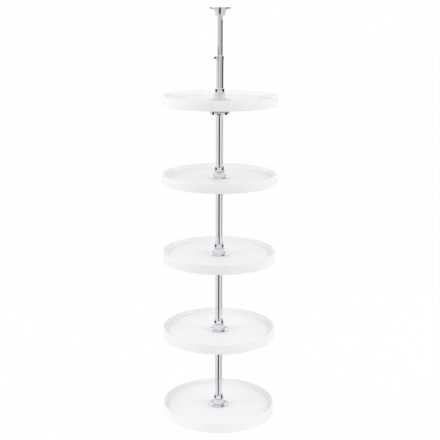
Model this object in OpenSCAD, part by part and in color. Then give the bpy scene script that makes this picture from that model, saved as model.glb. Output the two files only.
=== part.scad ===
// Rotating pantry unit: round trays that turn on one telescopic post, which
// stands between the floor and the top of a cabinet.
// Millimetres, +Z up, origin on the floor at the middle of the post.
// The front of the unit faces -Y. Level 1 is the lowest tray.

/* [Levels] */
// Number of trays on the post
tray_count = 5; // [1:1:5]
// Height of the lowest tray's rim above the floor
first_rim_z = 110; // [110:1:130]
// Distance from the lowest tray's rim to the next
level_pitch = 326; // [260:1:330]
// How much less each further distance between rims is
pitch_step = 5; // [0:0.5:8]

/* [Tray] */
// Outside diameter at the bottom edge of the skirt
tray_d = 457.2; // [400:0.2:620]
// How far the skirt leans in from its bottom edge to the rim
skirt_lean = 2.4; // [1:0.1:4]
// Height of the skirt
tray_h = 38; // [37:0.5:50]
// Depth from the rim down to the floor of the tray
tray_depth = 19; // [14:0.5:20]
// Thickness of the floor
floor_t = 3; // [2.5:0.1:3.6]
// Thickness of the skirt
skirt_t = 2.6; // [2.2:0.1:3]
// Width of the rim
rim_w = 3.4; // [3.2:0.1:4]
// Radius on both edges of the rim
rim_round = 1.5; // [1:0.1:1.6]
// How far the inner wall leans in from the rim to the floor
liner_lean = 5; // [3:0.5:7]
// Radius where the inner wall meets the floor
floor_fillet = 8; // [4:0.5:9]
// Diameter of the middle boss under the floor
boss_d = 60; // [54:0.5:62]
// Depth of the middle boss below the floor's underside
boss_l = 36; // [30:0.5:38]
// Number of radial ribs under the floor
rib_count = 12; // [6:1:24]
// Thickness of every rib
rib_t = 2.4; // [1.8:0.1:3]
// Depth of the ribs below the floor's underside
rib_h = 13; // [8:0.5:14]
// Radius of the inner ring rib
inner_ring_r = 95; // [80:1:110]
// Radius of the outer ring rib
outer_ring_r = 158; // [130:1:175]

/* [Post] */
// Outside diameter of the lower tube
post_d = 28.6; // [28:0.1:30]
// Wall of the lower tube
post_wall = 1.6; // [1.2:0.1:1.8]
// Length of the lower tube
post_l = 1530; // [1500:1:1800]
// Outside diameter of the upper tube
upper_d = 22.2; // [20:0.1:22.6]
// Wall of the upper tube
upper_wall = 1.4; // [1:0.1:2]
// Length of the upper tube
upper_l = 436; // [430:1:600]
// Length of the upper tube that is inside the lower tube
upper_insert = 250; // [200:1:260]

/* [Hub] */
// Wall of the plain bushes
bush_wall = 2.6; // [2:0.1:3.2]
// Length of the plain bushes
bush_l = 18; // [12:0.5:22]
// Thickness of the bushes' flanges
bush_flange_t = 2; // [1.5:0.1:2.5]
// Width of the upper bush's flange beyond its sleeve
bush_flange_w = 1; // [0.8:0.1:1.2]
// Wall of the hub's sleeve that passes through the tray
sleeve_wall = 5.9; // [4:0.1:7]
// Length of the hub's sleeve below the tray's floor
sleeve_l = 41; // [41:0.5:46]
// Width of the hub's top face outside the upper bush's flange
hub_lip = 3.2; // [3:0.1:6]
// How much wider in radius the hub is at its base than at its top
hub_taper = 2; // [0.5:0.1:4]
// Height of the hub above its flange
hub_h = 25; // [20:0.5:34]
// Width of the hub's flange outside its base
flange_w = 18.5; // [14:0.5:20]
// Thickness of the hub's flange
flange_t = 3; // [2:0.1:5]
// Radius where the hub's base meets its flange
hub_fillet = 2; // [1:0.1:3]
// Diameter of the circle of screws through the hub's flange
hub_screw_pcd = 66; // [64.5:0.5:70]
// Number of screws through the hub's flange
hub_screw_count = 4; // [3:1:6]
// Shank diameter of the hub's screws
hub_screw_d = 4; // [3:0.1:4.5]
// Length of the hub's screws below their heads
hub_screw_l = 16; // [10:0.5:17]
// Diameter of the heads of the hub's screws
hub_head_d = 8; // [6:0.1:8.4]
// Height of the heads of the hub's screws
hub_head_h = 2.4; // [1.5:0.1:3]
// Width of the cross in the heads of the hub's screws
cross_w = 1; // [0.6:0.1:1.4]
// Wall of the tray's screw bosses round the hub's screws
screw_boss_wall = 3.2; // [2:0.1:3.4]
// Radius on the edges of the hub's flange
flange_round = 1; // [0.4:0.1:1.4]
// Radius on the top edge of the hub
hub_top_round = 1.5; // [0.5:0.1:2]

/* [Collars] */
// Thickness of the washer that a hub turns on
washer_t = 2; // [1:0.1:3]
// Width of that washer's ring
washer_w = 11; // [8:0.5:16]
// Width of the support collar's ring outside the post
collar_w = 24; // [20:0.5:34]
// Thickness of the support collar
collar_t = 11.5; // [11:0.5:16]
// Radius on the support collar's outer edges
collar_round = 2.5; // [1:0.1:3]
// Wall of the keeper collar above the hub
keeper_wall = 3.8; // [3.6:0.1:6]
// Height of the keeper collar
keeper_h = 18; // [12:0.5:22]
// Radius on the keeper collar's top edge
keeper_round = 2.5; // [1:0.1:3]
// Angle from the front to each of the support collar's two set screws
collar_screw_angle = 42; // [35:1:60]
// Diameter of the support collar's set screws
collar_screw_d = 8; // [6:0.1:8.4]
// Length of the support collar's set screws
collar_screw_l = 14; // [8:0.5:16]
// Angle from the front to each of the keeper collar's two set screws
keeper_screw_angle = 52; // [35:1:60]
// Diameter of the keeper collar's set screws
keeper_screw_d = 10; // [6:0.1:10.2]
// Length of the keeper collar's set screws
keeper_screw_l = 2.8; // [2.5:0.1:3.2]
// Depth of the hexagon sockets in the set screws
socket_depth = 2; // [1:0.1:2.2]
// Wall of the set screws round the corners of their sockets
socket_wall = 1.4; // [0.8:0.1:1.6]

/* [Brackets] */
// Diameter of the floor and ceiling brackets' flanges
bracket_d = 82; // [78:0.5:110]
// Thickness of the brackets' flanges at their edge
bracket_edge_t = 5; // [3:0.5:6]
// Thickness of the brackets' flanges beside the cup
bracket_t = 7.5; // [6.5:0.5:9]
// Diameter of a bracket's cup beside its flange
cup_base_d = 46; // [43:0.5:50]
// Diameter of a bracket's cup at its mouth
cup_mouth_d = 40; // [38:0.5:42]
// Height of a bracket from its flat face to its mouth
bracket_h = 32; // [26:0.5:32]
// Radius on the mouth's outer edge
mouth_round = 3; // [1:0.1:3.2]
// Thickness of a bracket under the end of its tube
seat_t = 4; // [2:0.5:5]
// Width of the slot in the front of each bracket
slot_w = 6; // [3:0.5:8]
// Diameter of the circle of holes in the brackets' flanges
bracket_pcd = 64; // [63:0.5:66]
// Number of holes in each bracket's flange
bracket_holes = 4; // [3:1:6]
// Diameter of those holes
bracket_hole_d = 5; // [3.5:0.1:5.4]
// Diameter of those holes' countersinks
countersink_d = 9; // [7:0.1:9.6]
// Depth of those countersinks' slope
countersink_h = 2; // [1:0.1:2.5]
// Radius on the edge of the brackets' flanges
bracket_edge_round = 2; // [1:0.1:2.5]
// Radius where a bracket's cup meets its flange
cup_fillet = 2; // [1:0.1:3]
// Diameter of the set screw in each bracket's cup
cup_screw_d = 6; // [4:0.1:8]
// Length of the floor bracket's set screw
floor_screw_l = 6; // [5:0.5:6.5]
// Length of the ceiling bracket's set screw
ceiling_screw_l = 8; // [5:0.5:9]

/* [Clamp] */
// Wall of the ferrule round the top of the lower tube
ferrule_wall = 1.1; // [0.8:0.1:3]
// Height of the ferrule
ferrule_h = 21; // [16:0.5:30]
// Thickness of the ferrule over the guide bush
ferrule_cap_t = 4; // [3:0.1:6]
// Chamfer on the ferrule's top edge
ferrule_chamfer = 2; // [0.5:0.1:2.4]
// Length of the guide bush in the lower tube
guide_l = 24; // [14:0.5:40]
// Thickness of the guide bush's flange
guide_flange_t = 1.5; // [1:0.1:2.5]
// Distance of the thumb screw below the top of the lower tube
thumb_drop = 4.5; // [4.2:0.1:8]
// Shank diameter of the thumb screw
thumb_d = 5; // [4:0.1:6]
// Diameter of the thumb screw's head
thumb_head_d = 9; // [8:0.5:16]
// Length of the thumb screw's head
thumb_head_l = 6.4; // [5:0.1:12]
// Distance of the thumb screw's head from the ferrule
thumb_stand_off = 1.2; // [0.6:0.1:3]
// Number of grooves round the thumb screw's head
knurl_count = 16; // [10:1:20]
// Diameter of each of those grooves
knurl_d = 0.8; // [0.4:0.1:1]
// Diameter of the soft tip ahead of the thumb screw
tip_d = 4.2; // [3.2:0.1:4.4]
// Length of the soft tip
tip_l = 2; // [1.2:0.1:2.4]
// Diameter of the stem that holds the tip in the screw
tip_stem_d = 2; // [1.2:0.1:2.2]
// Length of that stem
tip_stem_l = 2.4; // [1.5:0.1:3]
// Length of the glide that closes the bottom of the upper tube
glide_l = 12; // [8:0.5:20]
// Thickness of the glide's collar
glide_flange_t = 6; // [3:0.5:12]

/* [Fits] */
// Radial clearance of a bush that turns or slides on a tube
run_gap = 0.08; // [0.04:0.01:0.1]
// Radial clearance of a collar that is set along a tube
slide_gap = 0.1; // [0.05:0.01:0.1]
// Radial clearance between pieces that are seated in each other
seat_gap = 0.15; // [0.1:0.01:0.2]
// Clearance between faces that pass each other
face_gap = 0.3; // [0.2:0.05:0.5]

/* [Hidden] */
$fn = 128;
ARC_STEPS = 6;
OVERLAP = 1;
FRONT = -90;
BACK = 90;
QUARTER = 90;
HEXAGON = 6;
// Direction of the first screw or hole of a ring of them
FIRST = 45;
// Radius that breaks a small edge
EDGE = 0.2;

// Radii of the post and of what runs on it
post_r = post_d / 2;
post_in_r = post_r - post_wall;
upper_r = upper_d / 2;
bush_r = post_r + run_gap + bush_wall;
hub_bore_r = bush_r + seat_gap;
sleeve_r = hub_bore_r + sleeve_wall;
bush_flange_r = bush_r + bush_flange_w;
hub_recess_r = bush_flange_r + seat_gap;
hub_top_r = hub_recess_r + hub_lip;
hub_base_r = hub_top_r + hub_taper;
flange_r = hub_base_r + flange_w;
collar_bore_r = post_r + slide_gap;
collar_r = collar_bore_r + collar_w;
keeper_r = collar_bore_r + keeper_wall;
ferrule_r = post_r + seat_gap + ferrule_wall;

// Heights on one level, from the rim of its tray
floor_z = -tray_depth;
floor_under_z = floor_z - floor_t;
boss_z = floor_under_z - boss_l;
rib_z = floor_under_z - rib_h;
flange_top_z = floor_z + flange_t;
hub_top_z = flange_top_z + hub_h;
sleeve_z = floor_z - sleeve_l;
washer_top_z = sleeve_z - bush_flange_t;
collar_top_z = washer_top_z - washer_t;
collar_z = collar_top_z - collar_t;
keeper_z = hub_top_z + face_gap;

// Radii of the tray
tray_r = tray_d / 2;
rim_r = tray_r - skirt_lean;
liner_top_r = rim_r - rim_w;
liner_foot_r = liner_top_r - liner_lean;
hub_hole_d = hub_screw_d + 2 * seat_gap;
screw_boss_d = hub_hole_d + 2 * screw_boss_wall;

// Heights on the post
post_z = seat_t;
post_top_z = post_z + post_l;
upper_z = post_top_z - upper_insert;
upper_top_z = upper_z + upper_l;
ceiling_z = upper_top_z + seat_t;
cup_screw_z = (bracket_t + bracket_h) / 2;
ferrule_top_z = post_top_z + guide_flange_t + ferrule_cap_t;
thumb_z = post_top_z - thumb_drop;
tip_start = upper_r + face_gap;
thumb_head_start = ferrule_r + thumb_stand_off;

LEVEL_PARTS = [
    "tray", "hub", "upper_bush", "lower_bush", "hub_screws",
    "thrust_washer", "support_collar", "keeper_collar", "collar_screws",
];
POST_PARTS = [
    "floor_bracket", "floor_bracket_screw", "lower_tube", "guide_bush",
    "clamp_ferrule", "thumb_screw", "thumb_screw_tip", "upper_tube",
    "tube_glide", "ceiling_bracket", "ceiling_bracket_screw",
];

// Height of a level's rim above the floor
function level_z(i) = first_rim_z + (i - 1) * level_pitch - (i - 1) * (i - 2) / 2 * pitch_step;

// Points on an arc round [x, y], from angle a to angle b
function arc(x, y, r, a, b) = [
    for (k = [0:ARC_STEPS])
        let (t = a + (b - a) * k / ARC_STEPS) [x + r * cos(t), y + r * sin(t)]
];

// Section of a ring whose outer edges are rounded
function ring_section(r_in, r_out, z0, z1, low_round, high_round) = concat(
    [[r_in, z0]],
    arc(r_out - low_round, z0 + low_round, low_round, -QUARTER, 0),
    arc(r_out - high_round, z1 - high_round, high_round, 0, QUARTER),
    [[r_in, z1]]
);

// Where the inner wall's slope is carried
liner_angle = atan2(tray_depth, liner_lean);
fillet_run = floor_fillet / tan((180 - liner_angle) / 2);
liner_out_r = liner_top_r + floor_t / sin(liner_angle);
skirt_in_r = rim_r - skirt_t;
// Depth at which the back of the inner wall meets the skirt
vee_z = -(liner_out_r - skirt_in_r) / (liner_lean / tray_depth + skirt_lean / tray_h);

// Section of the tray, from the boss round the skirt and rim to the floor
function tray_section() = let (
    fillet_x = liner_foot_r - fillet_run,
    fillet_y = floor_z + floor_fillet,
    bore = sleeve_r + seat_gap
) concat(
    [[bore, boss_z], [boss_d / 2, boss_z], [boss_d / 2, floor_under_z]],
    arc(fillet_x, fillet_y, floor_fillet + floor_t, -QUARTER, liner_angle - QUARTER),
    [[skirt_in_r - vee_z * skirt_lean / tray_h, vee_z]],
    [[tray_r - skirt_t, -tray_h], [tray_r, -tray_h]],
    arc(rim_r - rim_round, -rim_round, rim_round, 0, QUARTER),
    arc(liner_top_r + rim_round, -rim_round, rim_round, QUARTER, 180),
    arc_down(fillet_x, fillet_y),
    [[bore, floor_z]]
);

// Fillet between the inner wall and the floor, from the wall down
function arc_down(x, y) = arc(x, y, floor_fillet, liner_angle - QUARTER, -QUARTER);

// A solid turned round the post
module turned(section) {
    rotate_extrude() polygon(section);
}

// Repeats its children round the post
module round_post(count, first) {
    for (k = [0:count - 1]) rotate([0, 0, first + k * 360 / count]) children();
}

// Lays its children out from the post along one direction at one height
module radial(angle, z) {
    translate([0, 0, z]) rotate([0, 0, angle]) rotate([0, QUARTER, 0]) children();
}

// Puts its children at a level's rim
module at_level(i) {
    translate([0, 0, level_z(i)]) children();
}

// Set screw from distance r outwards, with a hexagon socket in its end
module set_screw(d, l, r) {
    translate([0, 0, r]) difference() {
        cylinder(d = d, h = l);
        translate([0, 0, l - socket_depth])
            cylinder(d = d - 2 * socket_wall, h = socket_depth + OVERLAP, $fn = HEXAGON);
    }
}

// Both set screws of a collar, or the holes for them
module pair_of_set_screws(angle, z) {
    for (side = [-1, 1]) radial(FRONT + side * angle, z) children();
}

module tray() {
    color("white") difference() {
        union() {
            turned(tray_section());
            tray_ribs();
            round_post(hub_screw_count, FIRST) translate([hub_screw_pcd / 2, 0, rib_z])
                cylinder(d = screw_boss_d, h = rib_h + OVERLAP);
        }
        round_post(hub_screw_count, FIRST) translate([hub_screw_pcd / 2, 0, rib_z + OVERLAP])
            cylinder(d = hub_hole_d, h = rib_h + floor_t);
    }
}

// Radial and ring ribs under the floor of a tray
module tray_ribs() {
    reach = tray_r - skirt_lean - skirt_t / 2;
    round_post(rib_count, 180 / rib_count)
        translate([boss_d / 2 - OVERLAP, -rib_t / 2, rib_z])
            cube([reach - boss_d / 2 + OVERLAP, rib_t, rib_h + OVERLAP]);
    for (r = [inner_ring_r, outer_ring_r])
        turned(ring_section(r - rib_t / 2, r + rib_t / 2, rib_z, floor_under_z + OVERLAP, EDGE, EDGE));
}

module hub() {
    section = concat(
        [[hub_bore_r, sleeve_z], [sleeve_r, sleeve_z], [sleeve_r, floor_z]],
        arc(flange_r - EDGE, floor_z + EDGE, EDGE, -QUARTER, 0),
        arc(flange_r - flange_round, flange_top_z - flange_round, flange_round, 0, QUARTER),
        arc(hub_base_r + hub_fillet, flange_top_z + hub_fillet, hub_fillet, 270, 180),
        arc(hub_top_r - hub_top_round, hub_top_z - hub_top_round, hub_top_round, 0, QUARTER),
        [[hub_recess_r, hub_top_z], [hub_recess_r, hub_top_z - bush_flange_t]],
        [[hub_bore_r, hub_top_z - bush_flange_t]]
    );
    color("gainsboro") difference() {
        turned(section);
        round_post(hub_screw_count, FIRST) translate([hub_screw_pcd / 2, 0, floor_z - OVERLAP])
            cylinder(d = hub_hole_d, h = flange_t + 2 * OVERLAP);
    }
}

// Plain bush with its sleeve above z = 0 and its flange below
module bush(flange_r) {
    color("ivory") turned([
        [post_r + run_gap, -bush_flange_t],
        [flange_r, -bush_flange_t],
        [flange_r, 0],
        [bush_r, 0],
        [bush_r, bush_l],
        [post_r + run_gap, bush_l],
    ]);
}

module upper_bush() {
    translate([0, 0, hub_top_z - bush_flange_t]) mirror([0, 0, 1]) bush(bush_flange_r);
}

module lower_bush() {
    translate([0, 0, sleeve_z]) bush(sleeve_r);
}

module hub_screws() {
    color("silver") round_post(hub_screw_count, FIRST)
        translate([hub_screw_pcd / 2, 0, flange_top_z]) difference() {
            union() {
                translate([0, 0, -hub_screw_l]) cylinder(d = hub_screw_d, h = hub_screw_l);
                turned(ring_section(0, hub_head_d / 2, 0, hub_head_h, EDGE, hub_head_h / 2));
            }
            for (turn = [0, QUARTER]) rotate([0, 0, turn])
                translate([-hub_head_d / 4, -cross_w / 2, hub_head_h / 2])
                    cube([hub_head_d / 2, cross_w, hub_head_h]);
        }
}

module thrust_washer() {
    bore_r = post_r + face_gap;
    color("ivory") turned(
        ring_section(bore_r, bore_r + washer_w, collar_top_z, washer_top_z, EDGE, EDGE));
}

module support_collar() {
    color("gainsboro") difference() {
        turned(ring_section(collar_bore_r, collar_r, collar_z, collar_top_z,
            collar_round, collar_round));
        pair_of_set_screws(collar_screw_angle, (collar_z + collar_top_z) / 2)
            cylinder(d = collar_screw_d + 2 * seat_gap, h = collar_r + OVERLAP);
    }
}

module keeper_collar() {
    color("gainsboro") difference() {
        turned(ring_section(collar_bore_r, keeper_r, keeper_z, keeper_z + keeper_h,
            EDGE, keeper_round));
        pair_of_set_screws(keeper_screw_angle, keeper_z + keeper_h / 2)
            cylinder(d = keeper_screw_d + 2 * seat_gap, h = keeper_r + OVERLAP);
    }
}

module collar_screws() {
    color("dimgray") {
        pair_of_set_screws(collar_screw_angle, (collar_z + collar_top_z) / 2)
            set_screw(collar_screw_d, collar_screw_l, post_r + face_gap);
        pair_of_set_screws(keeper_screw_angle, keeper_z + keeper_h / 2)
            set_screw(keeper_screw_d, keeper_screw_l, post_r + face_gap);
    }
}

// Flanged cup that stands on z = 0 and holds a tube in its mouth
module bracket(tube_d) {
    section = concat(
        [[0, 0]],
        arc(bracket_d / 2 - EDGE, EDGE, EDGE, -QUARTER, 0),
        arc(bracket_d / 2 - bracket_edge_round, bracket_edge_t - bracket_edge_round,
            bracket_edge_round, 0, QUARTER),
        arc(cup_base_d / 2 + cup_fillet, bracket_t + cup_fillet, cup_fillet, 270, 180),
        arc(cup_mouth_d / 2 - mouth_round, bracket_h - mouth_round, mouth_round, 0, QUARTER),
        [[0, bracket_h]]
    );
    color("gainsboro") difference() {
        turned(section);
        translate([0, 0, seat_t]) cylinder(d = tube_d + 2 * seat_gap, h = bracket_h);
        translate([-slot_w / 2, -bracket_d - tube_d / 4, -OVERLAP])
            cube([slot_w, bracket_d, bracket_h + 2 * OVERLAP]);
        round_post(bracket_holes, FIRST) translate([bracket_pcd / 2, 0, 0]) {
            translate([0, 0, -OVERLAP]) cylinder(d = bracket_hole_d, h = bracket_t + 2 * OVERLAP);
            translate([0, 0, bracket_edge_t - countersink_h])
                cylinder(d1 = bracket_hole_d, d2 = countersink_d, h = countersink_h);
            translate([0, 0, bracket_edge_t]) cylinder(d = countersink_d, h = bracket_t);
        }
        radial(BACK, cup_screw_z)
            cylinder(d = cup_screw_d + 2 * seat_gap, h = cup_base_d);
    }
}

// Set screw in a bracket's cup
module bracket_screw(tube_d, l) {
    color("dimgray") radial(BACK, cup_screw_z) set_screw(cup_screw_d, l, tube_d / 2 + seat_gap);
}

// Turns its children over and hangs them from the ceiling
module from_ceiling() {
    translate([0, 0, ceiling_z]) mirror([0, 0, 1]) children();
}

module floor_bracket() {
    bracket(post_d);
}

module floor_bracket_screw() {
    bracket_screw(post_d, floor_screw_l);
}

module ceiling_bracket() {
    from_ceiling() bracket(upper_d);
}

module ceiling_bracket_screw() {
    from_ceiling() bracket_screw(upper_d, ceiling_screw_l);
}

// Hole for the thumb screw, from the post's middle out to the left
module thumb_hole() {
    radial(180, thumb_z) cylinder(d = thumb_d + 2 * seat_gap, h = ferrule_r + OVERLAP);
}

module lower_tube() {
    color("lightgray") difference() {
        turned([[post_in_r, post_z], [post_r, post_z], [post_r, post_top_z], [post_in_r, post_top_z]]);
        thumb_hole();
    }
}

module guide_bush() {
    in_r = upper_r + run_gap;
    color("ivory") difference() {
        turned([
            [in_r, post_top_z - guide_l],
            [post_in_r - seat_gap, post_top_z - guide_l],
            [post_in_r - seat_gap, post_top_z],
            [post_r, post_top_z],
            [post_r, post_top_z + guide_flange_t],
            [in_r, post_top_z + guide_flange_t],
        ]);
        thumb_hole();
    }
}

module clamp_ferrule() {
    bore_r = post_r + seat_gap;
    cap_z = post_top_z + guide_flange_t;
    color("gainsboro") difference() {
        turned([
            [bore_r, ferrule_top_z - ferrule_h],
            [ferrule_r, ferrule_top_z - ferrule_h],
            [ferrule_r, ferrule_top_z - ferrule_chamfer],
            [ferrule_r - ferrule_chamfer, ferrule_top_z],
            [upper_r + face_gap, ferrule_top_z],
            [upper_r + face_gap, cap_z],
            [bore_r, cap_z],
        ]);
        thumb_hole();
    }
}

module thumb_screw() {
    shank_start = tip_start + tip_l;
    color("silver") radial(180, thumb_z) difference() {
        union() {
            translate([0, 0, shank_start]) cylinder(d = thumb_d, h = thumb_head_start - shank_start);
            translate([0, 0, thumb_head_start]) turned(
                ring_section(0, thumb_head_d / 2, 0, thumb_head_l, EDGE, knurl_d));
        }
        round_post(knurl_count, 0) translate([thumb_head_d / 2, 0, thumb_head_start - OVERLAP])
            cylinder(d = knurl_d, h = thumb_head_l + 2 * OVERLAP);
        translate([0, 0, shank_start - OVERLAP])
            cylinder(d = tip_stem_d + 2 * seat_gap, h = tip_stem_l + OVERLAP + face_gap);
    }
}

module thumb_screw_tip() {
    color("ivory") radial(180, thumb_z) translate([0, 0, tip_start]) {
        cylinder(d = tip_d, h = tip_l);
        translate([0, 0, tip_l / 2]) cylinder(d = tip_stem_d, h = tip_l / 2 + tip_stem_l);
    }
}

module upper_tube() {
    in_r = upper_r - upper_wall;
    color("lightgray") turned([
        [in_r, upper_z], [upper_r, upper_z], [upper_r, upper_top_z], [in_r, upper_top_z],
    ]);
}

module tube_glide() {
    stem_r = upper_r - upper_wall - seat_gap;
    out_r = post_in_r - slide_gap;
    color("ivory") turned([
        [0, upper_z - glide_flange_t],
        [out_r, upper_z - glide_flange_t],
        [out_r, upper_z],
        [stem_r, upper_z],
        [stem_r, upper_z + glide_l],
        [0, upper_z + glide_l],
    ]);
}

for (i = [1:tray_count]) {
    at_level(i) tray();
    at_level(i) hub();
    at_level(i) upper_bush();
    at_level(i) lower_bush();
    at_level(i) hub_screws();
    at_level(i) thrust_washer();
    at_level(i) support_collar();
    at_level(i) keeper_collar();
    at_level(i) collar_screws();
}
floor_bracket();
floor_bracket_screw();
lower_tube();
guide_bush();
clamp_ferrule();
thumb_screw();
thumb_screw_tip();
upper_tube();
tube_glide();
ceiling_bracket();
ceiling_bracket_screw();
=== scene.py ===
"""Looks of a rotating pantry unit: five white trays on a chrome telescopic post.

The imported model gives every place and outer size. This script dresses it with
surfaces worked out by numpy, procedural finishes, a camera and studio light.
Lengths are metres in the model's own frame: +Z up, the front faces -Y.
"""
from __future__ import annotations

import logging
import math
from dataclasses import dataclass
from enum import Enum
from typing import Sequence

import bpy
import numpy as np
from mathutils import Matrix, Vector


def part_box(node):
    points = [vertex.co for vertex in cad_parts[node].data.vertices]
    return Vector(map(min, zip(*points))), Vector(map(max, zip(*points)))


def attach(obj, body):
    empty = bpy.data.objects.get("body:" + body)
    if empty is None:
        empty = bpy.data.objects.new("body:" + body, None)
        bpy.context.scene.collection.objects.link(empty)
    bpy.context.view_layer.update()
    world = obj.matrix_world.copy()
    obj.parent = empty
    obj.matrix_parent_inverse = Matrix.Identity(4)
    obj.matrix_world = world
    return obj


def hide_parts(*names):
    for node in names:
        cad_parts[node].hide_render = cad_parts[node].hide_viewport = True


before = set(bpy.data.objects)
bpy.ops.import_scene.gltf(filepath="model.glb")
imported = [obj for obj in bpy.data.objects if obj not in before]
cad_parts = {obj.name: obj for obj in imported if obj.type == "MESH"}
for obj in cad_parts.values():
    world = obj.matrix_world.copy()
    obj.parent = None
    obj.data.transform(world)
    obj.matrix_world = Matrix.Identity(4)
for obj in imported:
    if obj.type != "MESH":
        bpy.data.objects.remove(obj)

Array = np.ndarray
Node = bpy.types.Node
Socket = bpy.types.NodeSocket

LOG = logging.getLogger("pantry_unit")
MM = 0.001
TURN = 2 * math.pi
QUARTER = math.pi / 2
FRONT = -QUARTER
LEVELS = 5
CLEARANCE = 0.15 * MM
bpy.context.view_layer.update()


# ---------------------------------------------------------------- surfaces


@dataclass
class Surface:
    """A mesh as plain arrays: points (n, 3) and a list of faces."""

    points: Array
    faces: list[Sequence[int]]

    def moved(self, matrix: Matrix) -> Surface:
        """Each point p becomes R p + t, with R and t taken from the matrix."""
        m = np.array(matrix, float)
        return Surface(self.points @ m[:3, :3].T + m[:3, 3], self.faces)

    def joined(self, *others: Surface) -> Surface:
        """Joins surfaces, each with its indices shifted past the last.

        Args:
            *others: The surfaces that follow this one.

        Returns:
            All of them as one.
        """
        points, faces = [self.points], list(self.faces)
        for other in others:
            start = sum(len(p) for p in points)
            points.append(other.points)
            faces += [[start + k for k in f] for f in other.faces]
        return Surface(np.vstack(points), faces)


def arc(x: float, y: float, radius: float, start: float, end: float, steps: int = 8) -> Array:
    """Points (x + r cos a, y + r sin a) for even angles a.

    Args:
        x: First coordinate of the centre.
        y: Second coordinate of the centre.
        radius: The radius r.
        start: First angle in degrees.
        end: Last angle in degrees.
        steps: Number of steps from one to the other.

    Returns:
        Points (steps + 1, 2).
    """
    a = np.radians(np.linspace(start, end, steps + 1))
    return np.column_stack([x + radius * np.cos(a), y + radius * np.sin(a)])


def path(*parts: Sequence) -> Array:
    """Single points and runs of points, one after the other, as one (n, 2) array."""
    return np.vstack([np.atleast_2d(np.array(p, float)) for p in parts])


def grid_faces(rows: int, columns: int, closed_rows: bool, closed_columns: bool) -> list[list[int]]:
    """Quads of a grid of points, row by row.

    Args:
        rows: Number of rows of points.
        columns: Number of points in a row.
        closed_rows: Whether the last row joins the first.
        closed_columns: Whether each row's last point joins its first.

    Returns:
        Faces that wind from a row to the next and then along the row.
    """
    i = np.arange(rows if closed_rows else rows - 1)[:, None]
    j = np.arange(columns if closed_columns else columns - 1)[None, :]
    i2, j2 = (i + 1) % rows, (j + 1) % columns
    quads = np.stack([i * columns + j, i2 * columns + j, i2 * columns + j2, i * columns + j2], -1)
    return quads.reshape(-1, 4).tolist()


def turned(section: Array, segments: int = 128) -> Surface:
    """A closed section turned round the Z axis.

    A section point (r, z) at angle t is (r cos t, r sin t, z). The section goes
    anticlockwise, with r to the right and z up, so that the faces point out.

    Args:
        section: Corners (r, z) of the closed section, none of them on the axis.
        segments: Number of steps round the axis.

    Returns:
        The ring-shaped surface.
    """
    t = np.linspace(0, TURN, segments, endpoint=False)[:, None]
    r, z = section[:, 0][None, :], section[:, 1][None, :]
    points = np.stack([r * np.cos(t), r * np.sin(t), z + 0 * t], -1).reshape(-1, 3)
    return Surface(points, grid_faces(segments, len(section), True, True))


def lofted(rings: Array) -> Surface:
    """A closed tube through rings of points, with a flat cap on each end.

    Args:
        rings: Points (rings, points per ring, 3); each ring is anticlockwise
            about the direction from the first ring to the last.

    Returns:
        The capped surface, facing out.
    """
    count, per_ring = rings.shape[:2]
    faces = [f[::-1] for f in grid_faces(count, per_ring, False, True)]
    last = (count - 1) * per_ring
    faces.append(list(range(per_ring))[::-1])
    faces.append([last + k for k in range(per_ring)])
    return Surface(rings.reshape(-1, 3), faces)


def ring_points(radius: Array, z: Array) -> Array:
    """Rings about Z: point k of ring i is radius[i, k] out at angle k, at height z[i].

    Args:
        radius: Distances from the axis (rings, points per ring).
        z: Height of each ring.

    Returns:
        Points (rings, points per ring, 3).
    """
    t = np.linspace(0, TURN, radius.shape[1], endpoint=False)[None, :]
    height = np.broadcast_to(np.asarray(z, float)[:, None], radius.shape)
    return np.stack([radius * np.cos(t), radius * np.sin(t), height], -1)


def hexagon(across: float, points: int) -> Array:
    """Distance of a hexagon's edge from its middle: inner radius / cos(angle from the face).

    Args:
        across: Width over the corners.
        points: Number of even directions.

    Returns:
        The distance in each direction.
    """
    t = np.linspace(0, TURN, points, endpoint=False)
    off = (t % (TURN / 6)) - TURN / 12
    return across / 2 * math.cos(TURN / 12) / np.cos(off)


def cross(length: float, width: float, points: int) -> Array:
    """Distance of a cross's edge from its middle: the further of its two arms' edges.

    Args:
        length: Length of each arm, from end to end.
        width: Width of each arm.
        points: Number of even directions, turned a hair so that none runs along an arm.

    Returns:
        The distance in each direction.
    """
    t = np.linspace(0, TURN, points, endpoint=False) + 1e-6
    c, s = np.abs(np.cos(t)), np.abs(np.sin(t))
    along = np.minimum(length / 2 / c, width / 2 / s)
    over = np.minimum(length / 2 / s, width / 2 / c)
    return np.maximum(along, over)


def box_surface(low: Sequence[float], high: Sequence[float]) -> Surface:
    """A box, as a loft of two rectangular rings.

    Args:
        low: Its lowest corner.
        high: Its highest corner.

    Returns:
        The closed surface.
    """
    (x0, y0, z0), (x1, y1, z1) = low, high
    ring = np.array([[x0, y0], [x1, y0], [x1, y1], [x0, y1]])
    rings = np.stack([np.column_stack([ring, np.full(4, z)]) for z in (z0, z1)])
    return lofted(rings)


def radial_matrix(angle: float, z: float) -> Matrix:
    """Turns +Z to point away from the post at that angle about it, at height z."""
    level = Matrix.Rotation(QUARTER, 4, "Y")
    return Matrix.Translation((0, 0, z)) @ Matrix.Rotation(angle, 4, "Z") @ level


# ---------------------------------------------------------------- pieces


def shade(mesh: bpy.types.Mesh, sharp: float) -> None:
    """Smooth shading, with the sharpest edges left crisp.

    Args:
        mesh: The mesh to shade.
        sharp: Edges that turn by more degrees than this stay crisp.
    """
    mesh.polygons.foreach_set("use_smooth", np.ones(len(mesh.polygons), bool))
    mesh.set_sharp_from_angle(angle=math.radians(sharp))
    mesh.update()


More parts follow.
